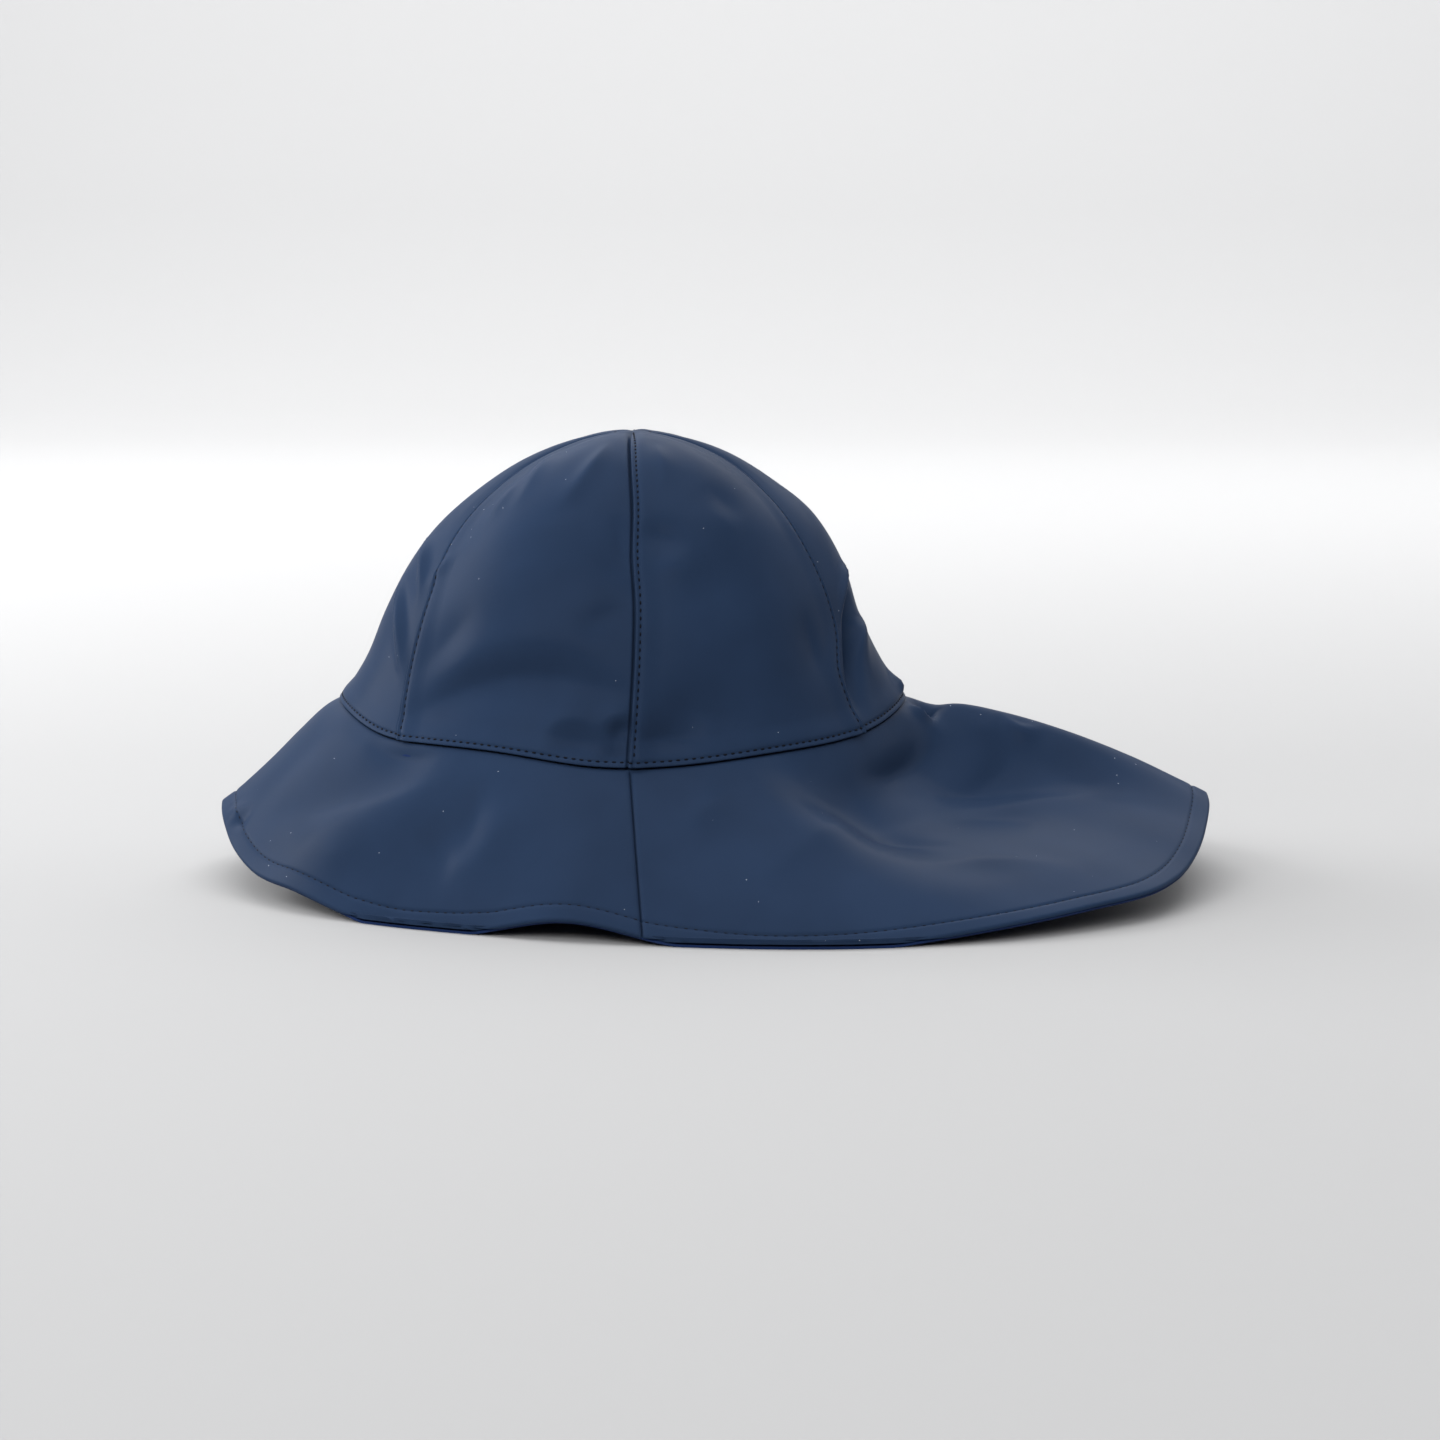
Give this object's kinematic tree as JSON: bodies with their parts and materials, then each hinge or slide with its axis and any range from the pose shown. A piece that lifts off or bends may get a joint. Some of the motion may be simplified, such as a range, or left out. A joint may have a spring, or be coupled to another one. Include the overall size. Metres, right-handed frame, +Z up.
{
  "type": "rain hat",
  "caption": "Soft rain hat of coated cloth: a domed crown of sewn panels over a sloping brim, short in front and long at the back as a neck flap.",
  "frame": {"origin": "on the floor that the hat rests on, under the middle of its outline", "axes": "+X towards the neck flap at the back, +Y to the wearer's right, +Z up"},
  "size_m": [0.3214, 0.269, 0.1445],
  "materials": {
    "outer_cloth": "smooth matt coating with a soft sheen",
    "facing_cloth": "smooth matt coating with a soft sheen"
  },
  "bodies": {
    "root": {"crown_panel_back": "outer_cloth", "crown_panel_right_back": "outer_cloth", "crown_panel_right_front": "outer_cloth", "crown_panel_front": "outer_cloth", "crown_panel_left_front": "outer_cloth", "crown_panel_left_back": "outer_cloth", "neck_flap": "outer_cloth", "neck_flap_facing": "facing_cloth", "brim_front": "outer_cloth", "brim_front_facing": "facing_cloth"}
  },
  "joints": []
}
